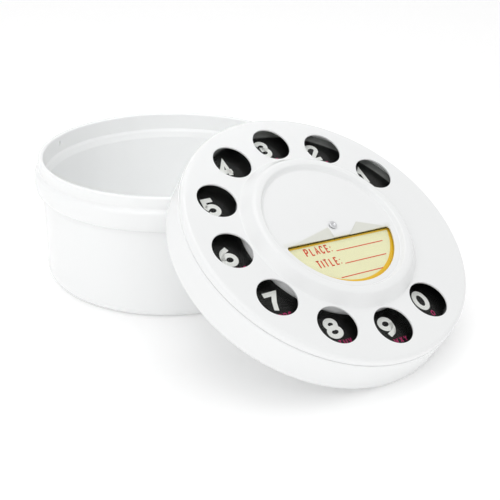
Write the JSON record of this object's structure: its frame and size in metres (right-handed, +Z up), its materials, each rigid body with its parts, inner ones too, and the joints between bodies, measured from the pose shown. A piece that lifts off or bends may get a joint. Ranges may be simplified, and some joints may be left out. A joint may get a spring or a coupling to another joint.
{
  "type": "round box with a dial lid",
  "caption": "Round glossy plastic box with a lift-off lid built like a telephone dial: a turning finger wheel over a printed number disc, and a half-moon window for a name card.",
  "frame": {"origin": "centre of the tub's flat base, on the table", "axes": "+Z up along the tub's axis, -Y towards the viewer of the picture and +X to the viewer's right, so the leaning lid lies towards +X and -Y"},
  "size_m": [0.1969, 0.1996, 0.0834],
  "materials": {
    "white_plastic": "gloss",
    "black_print": "gloss",
    "clear_film": "gloss",
    "yellow_card": "satin",
    "nylon": "satin",
    "steel": "satin"
  },
  "bodies": {
    "tub": {"tub": "white_plastic"},
    "lid": {"lid_shell": "white_plastic", "number_disc": "black_print", "number_film": "clear_film", "wave_washer": "steel"},
    "wheel": {"finger_wheel": "white_plastic", "card_window": "clear_film", "name_card": "yellow_card", "card_backing": "white_plastic", "pivot_pin": "steel", "spacer_bush": "nylon", "push_nut": "steel"}
  },
  "joints": [
    {"name": "lid_lift", "type": "slide", "parent": "tub", "child": "lid", "axis": [0, 0, 1], "range_m": [0, 0.12]},
    {"name": "wheel_spin", "type": "hinge", "parent": "lid", "child": "wheel", "pos_m": [0.07198, -0.07493, 0.0507], "axis": [0.3574, -0.3682, 0.8583], "continuous": true}
  ]
}
